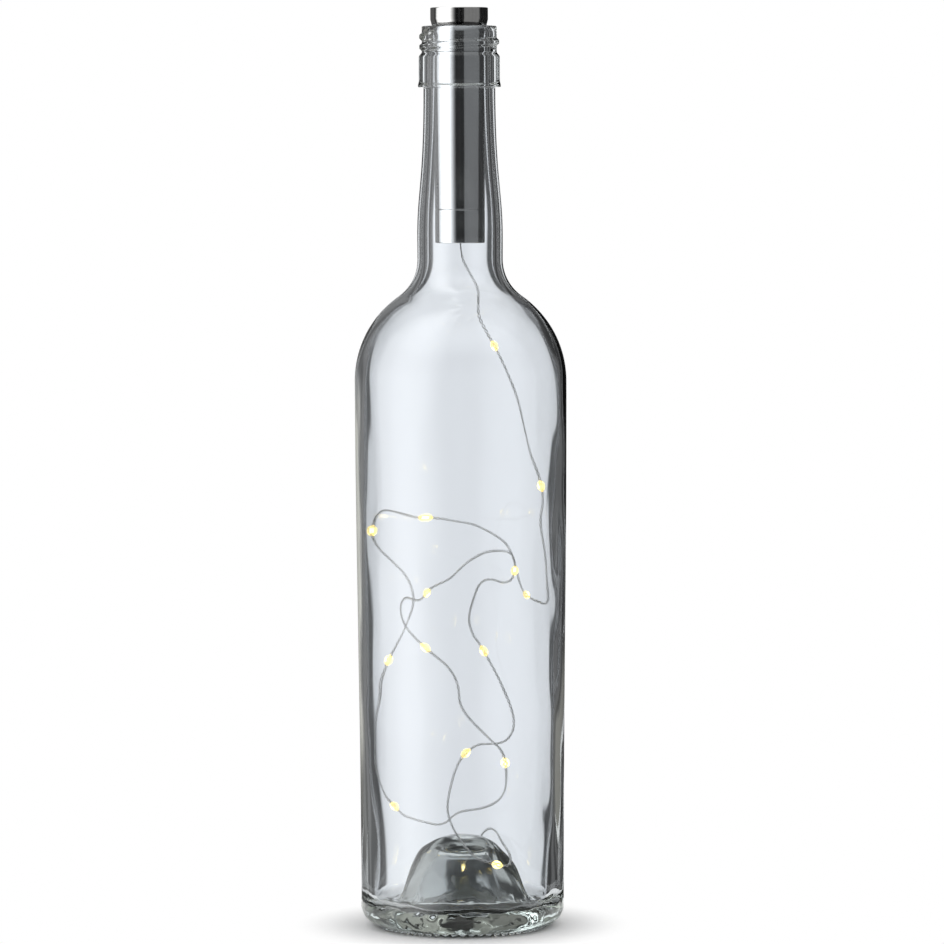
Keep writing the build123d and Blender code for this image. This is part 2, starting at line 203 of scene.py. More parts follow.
def shaped(name, places, tree, sizes, marks=None):
    """Runs the tree on a line of places and keeps the result as a plain mesh piece."""
    line = bpy.data.meshes.new(name + "_line")
    line.from_pydata([Vector(place) for place in places], [(i, i + 1) for i in range(len(places) - 1)], [])
    for label, values in (marks or {}).items():
        kind = "FLOAT_VECTOR" if hasattr(values[0], "__len__") else "FLOAT"
        mark = line.attributes.new(label, kind, "POINT")
        for item, value in zip(mark.data, values):
            setattr(item, "vector" if kind == "FLOAT_VECTOR" else "value", value)
    piece = bpy.data.objects.new(name, line)
    scene.collection.objects.link(piece)
    modifier = piece.modifiers.new(tree.name, "NODES")
    modifier.node_group = tree
    for item in tree.interface.items_tree:
        if item.in_out == "INPUT" and item.name in sizes:
            modifier[item.identifier] = sizes[item.name]
    evaluated = piece.evaluated_get(bpy.context.evaluated_depsgraph_get())
    piece.data = bpy.data.meshes.new_from_object(evaluated)
    piece.data.name = name
    piece.modifiers.clear()
    return piece


def arc(centre, radius, start, end, steps):
    """Places on an arc, angles in degrees from the radius direction."""
    turns = [math.radians(start + (end - start) * i / steps) for i in range(steps + 1)]
    return [(centre[0] + radius * math.cos(t), centre[1] + radius * math.sin(t)) for t in turns]


def flowing(places, start, end, steps):
    """Smooth line through the places, with the directions it starts and ends in."""
    count = len(places)
    spans = [math.dist(a, b) for a, b in zip(places, places[1:])]
    unit = [Vector(start).normalized(), Vector(end).normalized()]
    slopes = [unit[0]] + [Vector((0, 0))] * (count - 2) + [unit[1]]
    for _ in range(60):
        for i in range(1, count - 1):
            before, after = spans[i - 1], spans[i]
            rise = (Vector(places[i]) - Vector(places[i - 1])) * (after / before)
            rise += (Vector(places[i + 1]) - Vector(places[i])) * (before / after)
            pull = slopes[i - 1] * after + slopes[i + 1] * before
            slopes[i] = (3 * rise - pull) / (2 * (before + after))
    line = []
    for i in range(count - 1):
        a, b = Vector(places[i]), Vector(places[i + 1])
        share = max(2, round(steps * spans[i] / sum(spans)))
        for k in range(share + (i == count - 2)):
            t = k / share
            place = a * (2 * t**3 - 3 * t**2 + 1) + b * (3 * t**2 - 2 * t**3)
            place += slopes[i] * spans[i] * (t**3 - 2 * t**2 + t)
            place += slopes[i + 1] * spans[i] * (t**3 - t**2)
            line.append(tuple(place))
    return line


def eased(places, ease, steps=3):
    """Straight edges whose inner corners are eased by that much."""
    line = [places[0]]
    for a, corner, b in zip(places, places[1:], places[2:]):
        a, corner, b = Vector(a), Vector(corner), Vector(b)
        start = corner + (a - corner).normalized() * min(ease, (a - corner).length * 0.45)
        end = corner + (b - corner).normalized() * min(ease, (b - corner).length * 0.45)
        for k in range(steps + 1):
            t = k / steps
            line.append(tuple(start * (1 - t) ** 2 + corner * 2 * t * (1 - t) + end * t**2))
    return line + [places[-1]]


def divided(start, end, steps):
    """Places along a straight edge, without its first."""
    a, b = Vector(start), Vector(end)
    return [tuple(a.lerp(b, i / steps)) for i in range(1, steps + 1)]


def shoulder_line(straight, hollow, arc_radius, steps):
    """Round shoulder and the hollow that leads into the neck, from the body upwards."""
    centre = shoulder_radius - shoulder_arc_radius
    reach = straight + hollow - centre
    rise = math.sqrt((arc_radius + hollow) ** 2 - reach**2)
    lean = math.degrees(math.atan2(rise, reach))
    low = arc((centre, shoulder_height), arc_radius, 0, lean, steps)
    high = arc((straight + hollow, shoulder_height + rise), hollow, 180 + lean, 180, steps // 2)
    return low[1:] + high[1:], shoulder_height + rise


outer_shoulder, neck_base = shoulder_line(neck_radius, neck_hollow_radius, shoulder_arc_radius, steps=22)
inner_shoulder, bore_base = shoulder_line(
    neck_bore_radius, neck_inner_hollow_radius, shoulder_arc_radius - wall_thickness, steps=22
)
upward, downward = (0, 1), (0, -1)
collar_bottom = neck_base + neck_length
collar_top = collar_bottom + collar_height
mouth = collar_bottom + finish_height
heel_top = bead_height + heel_radius
land_outer = base_radius - heel_radius
land_inner = land_outer - land_width
floor_radius = base_radius - heel_wall_thickness
thread_low = collar_top + collar_bevel + thread_foot_gap

punt_under = [(0, punt_height), punt_crown, punt_shoulder, punt_foot, (land_inner, bead_height)]
outside = flowing(punt_under, (1, 0), (1, -0.7), steps=48)
outside += divided((land_inner, bead_height), (land_outer, bead_height), steps=3)
outside += arc((land_outer, heel_top), heel_radius, -90, 0, steps=14)[1:]
body_side = [(base_radius, heel_top), (waist_radius, waist_height), (shoulder_radius, shoulder_height)]
outside += flowing(body_side, upward, upward, steps=64)[1:]
outside += outer_shoulder
neck_side = [
    (neck_radius, neck_base),
    (neck_swell[0], neck_base + neck_swell[1]),
    (neck_step[0], neck_base + neck_step[1]),
    (neck_top_radius, collar_bottom - neck_end_below_collar),
]
outside += flowing(neck_side, upward, upward, steps=30)[1:]
collar_side = [
    (neck_top_radius, collar_bottom - edge_ease),
    (neck_top_radius, collar_bottom),
    (collar_lip_radius, collar_bottom),
    (collar_lip_radius, collar_bottom + collar_lip_height),
    (collar_radius, collar_bottom + collar_lip_height + collar_lip_taper),
    (collar_radius, collar_top),
    (finish_radius, collar_top + collar_bevel),
    (finish_radius, thread_low),
]
outside += eased(collar_side, edge_ease)
outside += divided((finish_radius, thread_low), (finish_radius, mouth - mouth_round), steps=60)
outside += arc((finish_radius - mouth_round, mouth - mouth_round), mouth_round, 0, 90, steps=5)[1:]
rim = [
    (finish_radius - mouth_round, mouth),
    (seat_radius, mouth),
    (bore_radius, mouth - seat_depth),
    (bore_radius, mouth - 2 * seat_depth),
]
outside += eased(rim, mouth_ease)[1:]
bore_side = [
    (bore_radius, mouth - 2 * seat_depth),
    (bore_step[0], bore_base + bore_step[1]),
    (bore_swell[0], bore_base + bore_swell[1]),
    (neck_bore_radius, bore_base),
]
inside = flowing(bore_side, downward, downward, steps=40)[1:]
inside += inner_shoulder[-2::-1]
inner_side = [
    (shoulder_radius - wall_thickness, shoulder_height),
    (waist_radius - wall_thickness, waist_height),
    (base_radius - wall_thickness, heel_wall_height),
    (floor_radius, floor_height + floor_round),
]
inside += flowing(inner_side, downward, downward, steps=64)
inside += arc((floor_radius - floor_round, floor_height + floor_round), floor_round, 0, -90, steps=12)[1:]
punt_over = [
    (floor_radius - floor_round, floor_height),
    (punt_foot[0] + punt_slope[0], punt_foot[1] + punt_slope[1]),
    (punt_shoulder[0] + punt_slope[0], punt_shoulder[1] + punt_slope[1]),
    punt_top_crown,
    (0, punt_height + punt_glass),
]
inside += flowing(punt_over, (-1, 0.2), (-1, 0), steps=48)[1:]
bottle_outline = [(r * mm, 0, z * mm) for r, z in reversed(outside + inside)]
inner_wall = [1.0] * len(inside) + [0.0] * len(outside)

# Turning an outline round the upright axis is shared by every round piece.
turning, given, made = shape_tree("turned_piece", {"Places": "Int", "Segments": "Int"})
sheet = add_node(
    turning,
    "GeometryNodeMeshGrid",
    {
        "Size X": 1.0,
        "Size Y": 1.0,
        "Vertices X": given["Places"],
        "Vertices Y": reckon(turning, "ADD", given["Segments"], 1.0),
    },
).outputs["Mesh"]
place = result(turning, "GeometryNodeInputPosition")
spread = parts(turning, place)
along = reckon(turning, "ADD", spread["X"], 0.5)
last_row = reckon(turning, "SUBTRACT", given["Places"], 1.0)
row = reckon(turning, "ROUND", product(turning, along, last_row))
edge = result(
    turning,
    "GeometryNodeSampleIndex",
    {"Geometry": given["Geometry"], "Value": place, "Index": row},
    data_type="FLOAT_VECTOR",
)
edge = parts(turning, edge)
turn = product(turning, reckon(turning, "ADD", spread["Y"], 0.5), math.tau)
around = result(
    turning,
    "ShaderNodeCombineXYZ",
    {
        "X": product(turning, edge["X"], reckon(turning, "COSINE", turn)),
        "Y": product(turning, edge["X"], reckon(turning, "SINE", turn)),
        "Z": edge["Z"],
    },
)
inner_mark = result(turning, "GeometryNodeInputNamedAttribute", {"Name": "inner_wall"})
inner_row = result(
    turning, "GeometryNodeSampleIndex", {"Geometry": given["Geometry"], "Value": inner_mark, "Index": row}
)
sheet = result(
    turning, "GeometryNodeStoreNamedAttribute", {"Geometry": sheet, "Name": "inner_wall", "Value": inner_row}
)
turned = result(turning, "GeometryNodeSetPosition", {"Geometry": sheet, "Position": around})
welding = {"Geometry": turned, "Distance": weld_distance * mm}
closed = result(turning, "GeometryNodeMergeByDistance", welding)
turning.links.new(closed, made)

blowing, given, made = shape_tree(
    "blown_bottle",
    {
        "Places": "Int",
        "Segments": "Int",
        "Thread start": "Float",
        "Thread pitch": "Float",
        "Thread turns": "Float",
        "Thread depth": "Float",
        "Finish radius": "Float",
        "Wall unevenness": "Float",
        "Heel stipple": "Float",
        "Floor wave": "Float",
        "Bead count": "Int",
        "Bead ring radius": "Float",
        "Material": "Material",
    },
)
profile = {label: given[label] for label in ("Geometry", "Places", "Segments")}
body = result(blowing, "GeometryNodeGroup", profile, node_tree=turning)
place = result(blowing, "GeometryNodeInputPosition")
spot = parts(blowing, place)
squares = [product(blowing, spot[axis], spot[axis]) for axis in ("X", "Y")]
radius = reckon(blowing, "SQRT", reckon(blowing, "ADD", *squares))
safe_radius = reckon(blowing, "MAXIMUM", radius, axis_margin * mm)
out_x = reckon(blowing, "DIVIDE", spot["X"], safe_radius)
out_y = reckon(blowing, "DIVIDE", spot["Y"], safe_radius)

# The thread climbs round the finish and fades at both ends.
bearing = reckon(blowing, "DIVIDE", reckon(blowing, "ARCTAN2", spot["Y"], spot["X"]), math.tau)
turn = reckon(blowing, "FRACT", reckon(blowing, "ADD", bearing, 1.0))
ridges = []
for whole_turn in range(math.ceil(thread_turns)):
    turns = reckon(blowing, "ADD", turn, float(whole_turn))
    height = reckon(blowing, "MULTIPLY_ADD", turns, given["Thread pitch"], given["Thread start"])
    off = reckon(blowing, "ABSOLUTE", reckon(blowing, "SUBTRACT", spot["Z"], height))
    ridge = over_span(blowing, off, (thread_crest_width / 2, thread_root_width / 2), 1.0, 0.0)
    start = blend_range(blowing, turns, 0.0, thread_fade_turns, 0.0, 1.0)
    left = reckon(blowing, "SUBTRACT", given["Thread turns"], turns)
    end = blend_range(blowing, left, 0.0, thread_fade_turns, 0.0, 1.0)
    ridges.append(product(blowing, ridge, product(blowing, start, end)))
finish_edge = reckon(blowing, "SUBTRACT", given["Finish radius"], finish_margin * mm)
on_finish = reckon(blowing, "GREATER_THAN", radius, finish_edge)
rise = product(blowing, reckon(blowing, "MAXIMUM", *ridges), on_finish, given["Thread depth"])

# The blown inner wall wavers, less near the axis and on the left.
wall_unevenness = 1.3
ripple_scale = 60.0
ripple_stretch = (1.0, 1.0, 0.35)
ripple_radii, ripple_share_at_axis = (5, 30), 0.25
calm_side, calm_share = (-25, -10), 0.55
ripple_place = result(blowing, "ShaderNodeVectorMath", {0: place, 1: ripple_stretch}, operation="MULTIPLY")
ripple = uneven(blowing, ripple_place, ripple_scale, 0.4)
inner = result(blowing, "GeometryNodeInputNamedAttribute", {"Name": "inner_wall"})
wide = over_span(blowing, radius, ripple_radii, ripple_share_at_axis, 1.0)
wide = product(blowing, wide, over_span(blowing, spot["X"], calm_side, calm_share, 1.0))
ripple = product(blowing, ripple, wide, product(blowing, inner, given["Wall unevenness"]))
rise = reckon(blowing, "ADD", rise, ripple)

# The mould leaves a stipple on the heel and on the punt's foot.
heel_stipple = 0.7
stipple_scale = 330.0
heel_fade = 3
punt_fade = 4
punt_calm_heights, punt_stipple_share = (8, 14), 0.2
stipple = product(blowing, uneven(blowing, place, stipple_scale, 0.5), given["Heel stipple"])
on_heel = product(
    blowing,
    reckon(blowing, "GREATER_THAN", radius, land_outer * mm),
    over_span(blowing, spot["Z"], (heel_top, heel_top + heel_fade), 1.0, 0.0),
    reckon(blowing, "SUBTRACT", 1.0, inner),
)
rise = reckon(blowing, "MULTIPLY_ADD", stipple, on_heel, rise)
on_punt = product(
    blowing,
    over_span(blowing, spot["Z"], (punt_height, punt_height + punt_glass + punt_fade), 1.0, 0.0),
    over_span(blowing, radius, (land_inner, land_inner - punt_fade), 0.0, 1.0),
    over_span(blowing, spot["Z"], punt_calm_heights, 1.0, punt_stipple_share),
)
lift = product(blowing, stipple, on_punt)

# The glass settled in waves on the inner floor round the punt.
floor_wave = 2.4
wave_scale = 130.0
wave_heights, wave_radii = (12, 18), (20, 25)
wave = product(blowing, uneven(blowing, place, wave_scale, 0.5), given["Floor wave"])
on_floor = product(
    blowing,
    inner,
    over_span(blowing, spot["Z"], wave_heights, 1.0, 0.0),
    over_span(blowing, radius, wave_radii, 0.0, 1.0),
)
lift = reckon(blowing, "MULTIPLY_ADD", wave, on_floor, lift)
push = result(
    blowing,
    "ShaderNodeCombineXYZ",
    {"X": product(blowing, out_x, rise), "Y": product(blowing, out_y, rise), "Z": lift},
)
glass_body = result(blowing, "GeometryNodeSetPosition", {"Geometry": body, "Offset": push})
bead_ring = result(
    blowing, "GeometryNodeMeshCircle", {"Vertices": given["Bead count"], "Radius": given["Bead ring radius"]}
)
bead = result(
    blowing,
    "GeometryNodeMeshCone",
    {
        "Vertices": bead_sides,
        "Side Segments": bead_rows,
        "Radius Top": bead_foot_radius * mm,
        "Radius Bottom": bead_tip_radius * mm,
        "Depth": (bead_height + bead_sink) * mm,
    },
)
beads = result(blowing, "GeometryNodeInstanceOnPoints", {"Points": bead_ring, "Instance": bead})
whole = add_node(blowing, "GeometryNodeJoinGeometry")
blowing.links.new(beads, whole.inputs[0])
blowing.links.new(glass_body, whole.inputs[0])
end_tree(blowing, whole.outputs[0], given["Material"], made)


def new_material(name):
    """A plain material; gives it with its tree, Principled shader and output."""
    material = bpy.data.materials.new(name)
    material.use_nodes = True
    tree = material.node_tree
    tree.nodes.clear()
    shader = tree.nodes.new("ShaderNodeBsdfPrincipled")
    output = tree.nodes.new("ShaderNodeOutputMaterial")
    tree.links.new(shader.outputs[0], output.inputs["Surface"])
    return material, tree, shader, output


# Fine unevenness of a surface, from the place on the piece: a mask from 0 to 1.
grain_group = bpy.data.node_groups.new("surface_grain", "ShaderNodeTree")
grain_inputs = {"Scale": 400.0, "Detail": 3.0, "Low": 0.35, "High": 0.65, "Stretch": (1, 1, 1)}
for label, value in grain_inputs.items():
    kind = "NodeSocketVector" if label == "Stretch" else "NodeSocketFloat"
    grain_group.interface.new_socket(label, in_out="INPUT", socket_type=kind).default_value = value
grain_group.interface.new_socket("Mask", in_out="OUTPUT", socket_type="NodeSocketFloat")
given = grain_group.nodes.new("NodeGroupInput").outputs
made = grain_group.nodes.new("NodeGroupOutput").inputs
object_place = add_node(grain_group, "ShaderNodeTexCoord").outputs["Object"]
stretched = result(
    grain_group, "ShaderNodeVectorMath", {0: object_place, 1: given["Stretch"]}, operation="MULTIPLY"
)
speckle = add_node(
    grain_group,
    "ShaderNodeTexNoise",
    {"Vector": stretched, "Scale": given["Scale"], "Detail": given["Detail"]},
).outputs["Fac"]
mask = blend_range(grain_group, speckle, given["Low"], given["High"], 0.0, 1.0)
grain_group.links.new(mask, made["Mask"])


def grain(tree, **values):
    """The grain group in a material; gives its mask."""
    node = add_node(tree, "ShaderNodeGroup", node_tree=grain_group)
    for label, value in values.items():
        node.inputs[label].default_value = value
    return node.outputs["Mask"]


glass_colour = (0.90, 0.92, 0.95, 1)
glass_index = 1.5
scuff_roughness = 0.02
glass_tint, tint_density = (0.80, 0.88, 0.84, 1), 14.0
glass, tree, shader, output = new_material("bottle_glass")
scuff = grain(tree, Scale=900.0, Detail=4.0, Low=0.55, High=0.8)
sag = grain(tree, Scale=55.0, Detail=1.0, Low=0.2, High=0.8, Stretch=(1, 1, 0.3))
finish = {
    "Base Color": glass_colour,
    "Roughness": blend_range(tree, scuff, 0.0, 1.0, 0.0, scuff_roughness),
    "IOR": glass_index,
    "Transmission Weight": 1.0,
    "Normal": result(tree, "ShaderNodeBump", {"Height": sag, "Strength": 0.06, "Distance": 1 * mm}),
}
fill(tree, shader, finish)
tint = result(tree, "ShaderNodeVolumeAbsorption", {"Color": glass_tint, "Density": tint_density})
fill(tree, output, {"Volume": tint})

# Light that turns in the glass more often than a render follows ends black. There the glass glows
# with a faint painted light, its level set by its place: in the walls, in the heel and in the finish.
turns_followed = 3.5
painted_glow_colour = (1.0, 0.97, 0.90, 1)
left_wall_level, right_wall_level, finish_level = 0.42, 0.14, 0.14
heel_left_level, heel_right_level, heel_level = 0.16, 0.34, 0.012
path = add_node(tree, "ShaderNodeLightPath").outputs
lost = reckon(tree, "GREATER_THAN", path["Glossy Depth"], turns_followed)
object_place = add_node(tree, "ShaderNodeTexCoord").outputs["Object"]
spot = parts(tree, object_place)
left_wall = product(
    tree,
    over_span(tree, spot["X"], (-32, -26), left_wall_level, 0.0),
    over_span(tree, spot["Z"], (190, 205), 1.0, 0.0),
    over_span(tree, spot["Z"], (45, 80), 0.3, 1.0),
)
right_wall = product(
    tree,
    over_span(tree, spot["X"], (26, 32), 0.0, right_wall_level),
    over_span(tree, spot["Z"], (85, 110), 1.0, 0.0),
)
heel_left = product(
    tree,
    over_span(tree, spot["X"], (-25, -20), 0.0, heel_left_level),
    over_span(tree, spot["X"], (-12, -7), 1.0, 0.0),
)
heel_right = product(
    tree,
    over_span(tree, spot["X"], (9, 13), 0.0, heel_right_level),
    over_span(tree, spot["X"], (19, 24), 1.0, 0.0),
)
in_wall = reckon(tree, "ADD", left_wall, right_wall)
in_heel = reckon(tree, "ADD", reckon(tree, "ADD", heel_left, heel_right), heel_level)
in_finish = over_span(tree, spot["Z"], (collar_top, collar_top + 2), 0.0, finish_level)
painted_glow = reckon(tree, "ADD", over_span(tree, spot["Z"], (12, 16), in_heel, in_wall), in_finish)
# The glass's painted glow, only on the paths that end in it.
fill(tree, shader, {"Emission Color": painted_glow_colour, "Emission Strength": product(tree, lost, painted_glow)})

bottle = shaped(
    "glass_bottle",
    bottle_outline,
    blowing,
    {
        "Places": len(bottle_outline),
        "Segments": glass_segments,
        "Thread start": (mouth - thread_start_below_mouth) * mm,
        "Thread pitch": thread_pitch * mm,
        "Thread turns": thread_turns,
        "Thread depth": thread_depth * mm,
        "Finish radius": finish_radius * mm,
        "Wall unevenness": wall_unevenness * mm,
        "Heel stipple": heel_stipple * mm,
        "Floor wave": floor_wave * mm,
        "Bead count": bead_count,
        "Bead ring radius": bead_ring_radius * mm,
        "Material": glass,
    },
    {"inner_wall": inner_wall},
)
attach(bottle, "bottle")
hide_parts("bottle")


# Light string
# Two thin silvered copper strands twisted into one soft wire. It leaves the grommet in the end
# cap, hangs down the neck and lies in loose turns in the bottle, where it was let fall.
stopper_depth = 77.9
wire_inside_grommet = 2.0
strand_radius = 0.16
strand_sides = 7
strand_spread = 0.34
strand_step = 0.24
twist_pitch = 3.3
twist_wander, wander_scale = 0.9, 60.0
looseness, looseness_scale, looseness_start = (0.8, 1.1), 45.0, 3.0
grommet_run, grommet_slack = (5, 9), (0.5, 1.2)
settled_run, settled_slack = (18, 30), -0.2
exit_height = mouth - stopper_depth
wire_route = [
    (0, 0, exit_height + wire_inside_grommet), (0, 0, 243.5), (3, -0.5, 237.5),
    (7, -1.5, 229.5), (6, -2.5, 222),
    (9, -3.5, 215.5), (16, -5, 205), (20.5, -7, 191.5), (24, -10, 174.5),
    (27, -11, 165.5), (29, -11, 156), (27, -10.5, 148), (29.5, -10, 136.5),
    (30, -9.5, 126.5), (31, -9, 118.5), (29, -5, 117.5),
    (27, -1, 119), (22, 5, 121.5), (20, 9, 131.5), (15, 14, 140), (5.5, 19.5, 144.5),
    (-9.5, 25.5, 146), (-18, 27, 147), (-27, 16, 150), (-30.5, 5, 150.5),
    (-31.5, -3, 147.5), (-31.5, -7, 140.5), (-25, -8, 133.5), (-19, -7, 127.5),
    (-16.5, -5, 119), (-19.5, -4, 110.5),
    (-24, -3, 103), (-29.5, 0, 91), (-30, 2, 82.5), (-32.5, 4, 75),
    (-32.5, 3, 63), (-32.5, 4, 54.5),
    (-29, 7, 45), (-23.5, 10, 37.5), (-17, 11, 36), (-8, 10, 33), (-3.5, 8, 38),
    (4, 6, 40), (11, 3, 42.5), (15.5, -1, 47.5),
    (16, -6, 54.5), (15, -12, 65), (10, -17, 70), (-1, -22, 81.5), (-1, -24, 90.5),
    (-4.5, -26, 97),
    (-9, -27.5, 101), (-16, -28, 107.5), (-20.5, -22, 112.5), (-22, -14, 118),
    (-20.5, -5, 120.5), (-16.5, 3, 118),
    (-13.5, 9, 118), (-9.5, 13, 122.5), (-3.5, 14, 126), (4, 12, 132.5), (12, 6, 136.5),
    (17.5, -2, 136.5),
    (19.5, -9, 133), (18.5, -14.5, 127), (14.5, -15, 126), (9.5, -9.5, 127.5),
    (6.5, -5.5, 125), (4.5, -7, 120), (2, -16, 114), (3.5, -23, 108.5),
    (6, -28, 106), (9.5, -30, 100), (13.5, -29, 92), (19, -26.5, 77.5), (16, -26, 70),
    (10, -25, 69),
    (5, -24, 69), (-2, -23, 62.5), (-6, -19.5, 47), (-4.5, -17.5, 39), (0, -15.5, 31.5),
    (4, -18, 27),
    (8.5, -17.5, 25.3), (16.5, -14.5, 22.5), (17, -9.5, 26.5), (14.5, -4.5, 30), (12, 2, 33.5),
    (9, 9, 33), (5.5, 16.5, 28.5), (2, 22.5, 22), (-1, 26, 15),
]
line = bpy.data.curves.new("wire_line", "CURVE")
line.dimensions = "3D"
spline = line.splines.new("NURBS")
spline.points.add(len(wire_route) - 1)
for point, place in zip(spline.points, wire_route):
    point.co = (place[0] * mm, place[1] * mm, place[2] * mm, 1)
spline.order_u = 3
spline.use_endpoint_u = True
spline.resolution_u = 10
carrier = bpy.data.objects.new("wire_line", line)
scene.collection.objects.link(carrier)
drawn = bpy.data.meshes.new_from_object(carrier.evaluated_get(bpy.context.evaluated_depsgraph_get()))
wire_places = [vertex.co.copy() for vertex in drawn.vertices]
bpy.data.objects.remove(carrier)

twisting, given, made = shape_tree(
    "twisted_wire",
    {
        "Strand radius": "Float",
        "Strand spread": "Float",
        "Twist pitch": "Float",
        "Step": "Float",
        "Material": "Material",
    },
)
middle = result(twisting, "GeometryNodeMeshToCurve", {"Mesh": given["Geometry"]})
middle = result(
    twisting, "GeometryNodeResampleCurve", {"Curve": middle, "Length": given["Step"]}, mode="LENGTH"
)
run = add_node(twisting, "GeometryNodeSplineParameter").outputs["Length"]
tangent = result(twisting, "GeometryNodeInputTangent")
across = result(twisting, "GeometryNodeInputNormal")
up = result(twisting, "ShaderNodeVectorMath", {0: tangent, 1: across}, operation="CROSS_PRODUCT")


def noise_along(run, scale, detail):
    """Noise from 0 to 1 along the wire."""
    values = {"W": run, "Scale": scale, "Detail": detail}
    return add_node(twisting, "ShaderNodeTexNoise", values, noise_dimensions="1D").outputs["Fac"]


even_turns = reckon(twisting, "DIVIDE", run, given["Twist pitch"])
wander = noise_along(run, wander_scale, 0.0)
turns = reckon(twisting, "MULTIPLY_ADD", wander, twist_wander, even_turns)
loose = noise_along(reckon(twisting, "ADD", run, looseness_start), looseness_scale, 1.0)
loose = blend_range(twisting, loose, 0.3, 0.7, *looseness)
slack = over_span(twisting, run, grommet_run, *grommet_slack)
slack = reckon(twisting, "ADD", slack, over_span(twisting, run, settled_run, 0.0, settled_slack))
spread = product(twisting, given["Strand spread"], loose, slack)


def tube_along(tree, curve, radius, sides):
    """Round wire along a curve, closed at its ends."""
    section = result(tree, "GeometryNodeCurvePrimitiveCircle", {"Resolution": sides, "Radius": radius})
    values = {"Curve": curve, "Profile Curve": section, "Fill Caps": True}
    return result(tree, "GeometryNodeCurveToMesh", values)


pair = add_node(twisting, "GeometryNodeJoinGeometry")
for phase in (0.0, math.pi):
    angle = reckon(twisting, "MULTIPLY_ADD", turns, math.tau, phase)
    shifts = []
    for direction, wave in ((across, "COSINE"), (up, "SINE")):
        values = {0: direction, "Scale": product(twisting, reckon(twisting, wave, angle), spread)}
        shifts.append(result(twisting, "ShaderNodeVectorMath", values, operation="SCALE"))
    shift = result(twisting, "ShaderNodeVectorMath", dict(enumerate(shifts)))
    strand = result(twisting, "GeometryNodeSetPosition", {"Geometry": middle, "Offset": shift})
    tube = tube_along(twisting, strand, given["Strand radius"], strand_sides)
    twisting.links.new(tube, pair.inputs[0])
end_tree(twisting, pair.outputs[0], given["Material"], made)


def two_tone(tree, mask, first, second):
    """Leads from the first colour to the second by the mask."""
    values = {"Factor": mask, 6: first, 7: second}
    return add_node(tree, "ShaderNodeMix", values, data_type="RGBA").outputs[2]


glint_silver, unlit_dash_silver = (0.98, 0.98, 0.96, 1), (0.42, 0.42, 0.41, 1)
silver, tree, shader, output = new_material("wire_silver")
# Painted glints: this mask makes the silver bright and dark in small dashes along the wire, in place of the
# strands' own highlights.
glint_dashes = grain(tree, Scale=1000.0, Detail=1.0, Low=0.44, High=0.56)
finish = {
    "Base Color": two_tone(tree, glint_dashes, glint_silver, unlit_dash_silver),
    "Metallic": 0.45,
    "Roughness": blend_range(tree, glint_dashes, 0.0, 1.0, 0.12, 0.3),
}
fill(tree, shader, finish)

string = shaped(
    "light_string",
    wire_places,
    twisting,
    {
        "Strand radius": strand_radius * mm,
        "Strand spread": strand_spread * mm,
        "Twist pitch": twist_pitch * mm,
        "Step": strand_step * mm,
        "Material": silver,
    },
)
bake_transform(string)
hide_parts("lead_wire", "light_wire")


# Light drops
# Each light is a bare chip soldered between the strands and sealed in a drop of clear warm resin
# that was dripped on and cured, so it is fullest in its middle and runs out along the wire.
drop_length = 4.4
drop_radius = 1.4
drop_sides, drop_rows = 20, 14
drop_end_fullness = 0.75
last_drop_inset = 1.0
resin_index = 1.5
resin_strength = 0.55
edge_light, heart_light = (1.0, 0.70, 0.20, 1), (1.0, 0.86, 0.42, 1)
deep_resin, clear_resin = (1.0, 0.88, 0.50, 1), (1.0, 0.94, 0.66, 1)
light_runs = (5, 9, 16, 21, 25, 31, 37, 45, 51, 57, 63, 71, 77, 83)
light_places = []
light_directions = []
for number in light_runs:
    before, after = Vector(wire_route[number]), Vector(wire_route[number + 1])
    middle = (before + after) / 2 * mm
    light_places.append(min(wire_places, key=lambda place: (place - middle).length))
    light_directions.append((after - before).normalized())
last_run = (Vector(wire_route[-1]) - Vector(wire_route[-2])).normalized()
light_places.append(wire_places[-1] - last_run * last_drop_inset * mm)
light_directions.append(last_run)

dripping, given, made = shape_tree(
    "resin_drops", {"Drop length": "Float", "Drop radius": "Float", "Material": "Material"}
)
drop = result(
    dripping, "GeometryNodeMeshUVSphere", {"Segments": drop_sides, "Rings": drop_rows, "Radius": 1.0}
)
place = result(dripping, "GeometryNodeInputPosition")
ball = parts(dripping, place)
off_middle = reckon(dripping, "ABSOLUTE", ball["Z"])
fullness = blend_range(dripping, off_middle, 0.25, 1.0, 1.0, drop_end_fullness)
width = product(dripping, given["Drop radius"], fullness)
formed = result(
    dripping,
    "ShaderNodeCombineXYZ",
    {
        "X": product(dripping, ball["X"], width),
        "Y": product(dripping, ball["Y"], width),
        "Z": product(dripping, ball["Z"], product(dripping, given["Drop length"], 0.5)),
    },
)
heart = reckon(dripping, "SUBTRACT", 1.0, off_middle)
drop = result(dripping, "GeometryNodeStoreNamedAttribute", {"Geometry": drop, "Name": "glow", "Value": heart})
drop = result(dripping, "GeometryNodeSetPosition", {"Geometry": drop, "Position": formed})
heading = result(dripping, "GeometryNodeInputNamedAttribute", {"Name": "direction"}, data_type="FLOAT_VECTOR")
facing = result(dripping, "FunctionNodeAlignRotationToVector", {"Vector": heading}, axis="Z")
points = result(dripping, "GeometryNodeMeshToPoints", {"Mesh": given["Geometry"]})
drops = result(
    dripping, "GeometryNodeInstanceOnPoints", {"Points": points, "Instance": drop, "Rotation": facing}
)
end_tree(dripping, drops, given["Material"], made)

resin, tree, shader, output = new_material("drop_resin")
glow = add_node(tree, "ShaderNodeAttribute", attribute_name="glow").outputs["Fac"]
cloud = grain(tree, Scale=1500.0, Detail=2.0)
finish = {
    "Base Color": two_tone(tree, cloud, deep_resin, clear_resin),
    "Roughness": blend_range(tree, cloud, 0.0, 1.0, 0.05, 0.2),
    "IOR": resin_index,
    "Transmission Weight": 1.0,
    "Emission Color": two_tone(tree, glow, edge_light, heart_light),
    "Emission Strength": resin_strength,
}
fill(tree, shader, finish)

